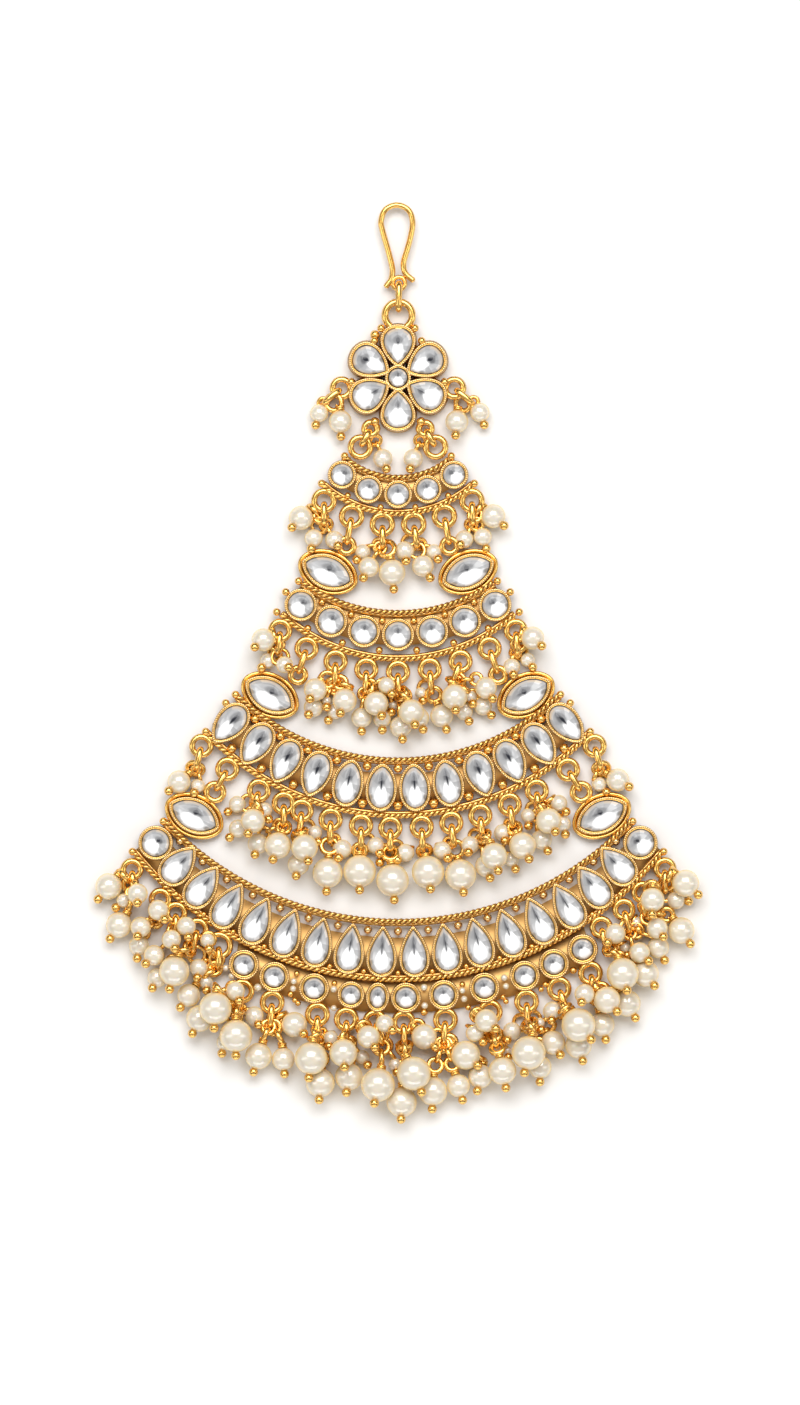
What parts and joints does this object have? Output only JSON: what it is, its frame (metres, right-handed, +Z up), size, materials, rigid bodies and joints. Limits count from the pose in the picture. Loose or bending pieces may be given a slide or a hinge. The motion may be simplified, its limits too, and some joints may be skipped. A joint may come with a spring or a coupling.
{
  "type": "passa headpiece",
  "caption": "Fan-shaped side headpiece of gilt metal: a hair hook, a flower rosette and widening curved bars of clear foiled stones, each fringed with pearl drops.",
  "frame": {"origin": "bottom centre of the bounding box, on the surface the jewel lies on", "axes": "+Z up from the back to the stones' faces, +Y from the fringe to the hair hook, +X to the right"},
  "size_m": [0.0988, 0.1506, 0.0087],
  "materials": {
    "gilt": "polished",
    "crystal": "foil-backed, faceted",
    "pearl": "pearl lustre"
  },
  "bodies": {
    "root": {"bar_1": "gilt", "bar_2": "gilt", "bar_3": "gilt", "bar_4": "gilt", "centre_stone": "crystal", "hair_hook": "gilt", "hook_link": "gilt", "marquise_stone_2_left": "crystal", "marquise_stone_2_right": "crystal", "marquise_stone_3_left": "crystal", "marquise_stone_3_right": "crystal", "marquise_stone_4_left": "crystal", "marquise_stone_4_right": "crystal", "petal_stone_1": "crystal", "petal_stone_2": "crystal", "petal_stone_3": "crystal", "petal_stone_4": "crystal", "petal_stone_5": "crystal", "petal_stone_6": "crystal", "rosette": "gilt", "rosette_drops_left": "pearl", "rosette_drops_right": "pearl", "tier_1_drops_1": "pearl", "tier_1_drops_2": "pearl", "tier_1_drops_3": "pearl", "tier_1_drops_4": "pearl", "tier_2_drops_1": "pearl", "tier_2_drops_2": "pearl", "tier_2_drops_3": "pearl", "tier_2_drops_4": "pearl", "tier_2_drops_5": "pearl", "tier_2_drops_6": "pearl", "tier_2_drops_7": "pearl", "tier_3_drops_1": "pearl", "tier_3_drops_10": "pearl", "tier_3_drops_2": "pearl", "tier_3_drops_3": "pearl", "tier_3_drops_4": "pearl", "tier_3_drops_5": "pearl", "tier_3_drops_6": "pearl", "tier_3_drops_7": "pearl", "tier_3_drops_8": "pearl", "tier_3_drops_9": "pearl", "tier_4_drops_1": "pearl", "tier_4_drops_2": "pearl", "tier_4_drops_3": "pearl", "tier_4_drops_4": "pearl", "tier_4_drops_5": "pearl", "tier_4_drops_6": "pearl", "tier_4_drops_7": "pearl", "tier_4_drops_8": "pearl", "tier_4_drops_9": "pearl", "tier_link_1_left": "gilt", "tier_link_1_right": "gilt", "tier_link_2_left": "gilt", "tier_link_2_right": "gilt", "tier_link_3_left": "gilt", "tier_link_3_right": "gilt", "tier_link_4_left": "gilt", "tier_link_4_right": "gilt"}
  },
  "joints": []
}
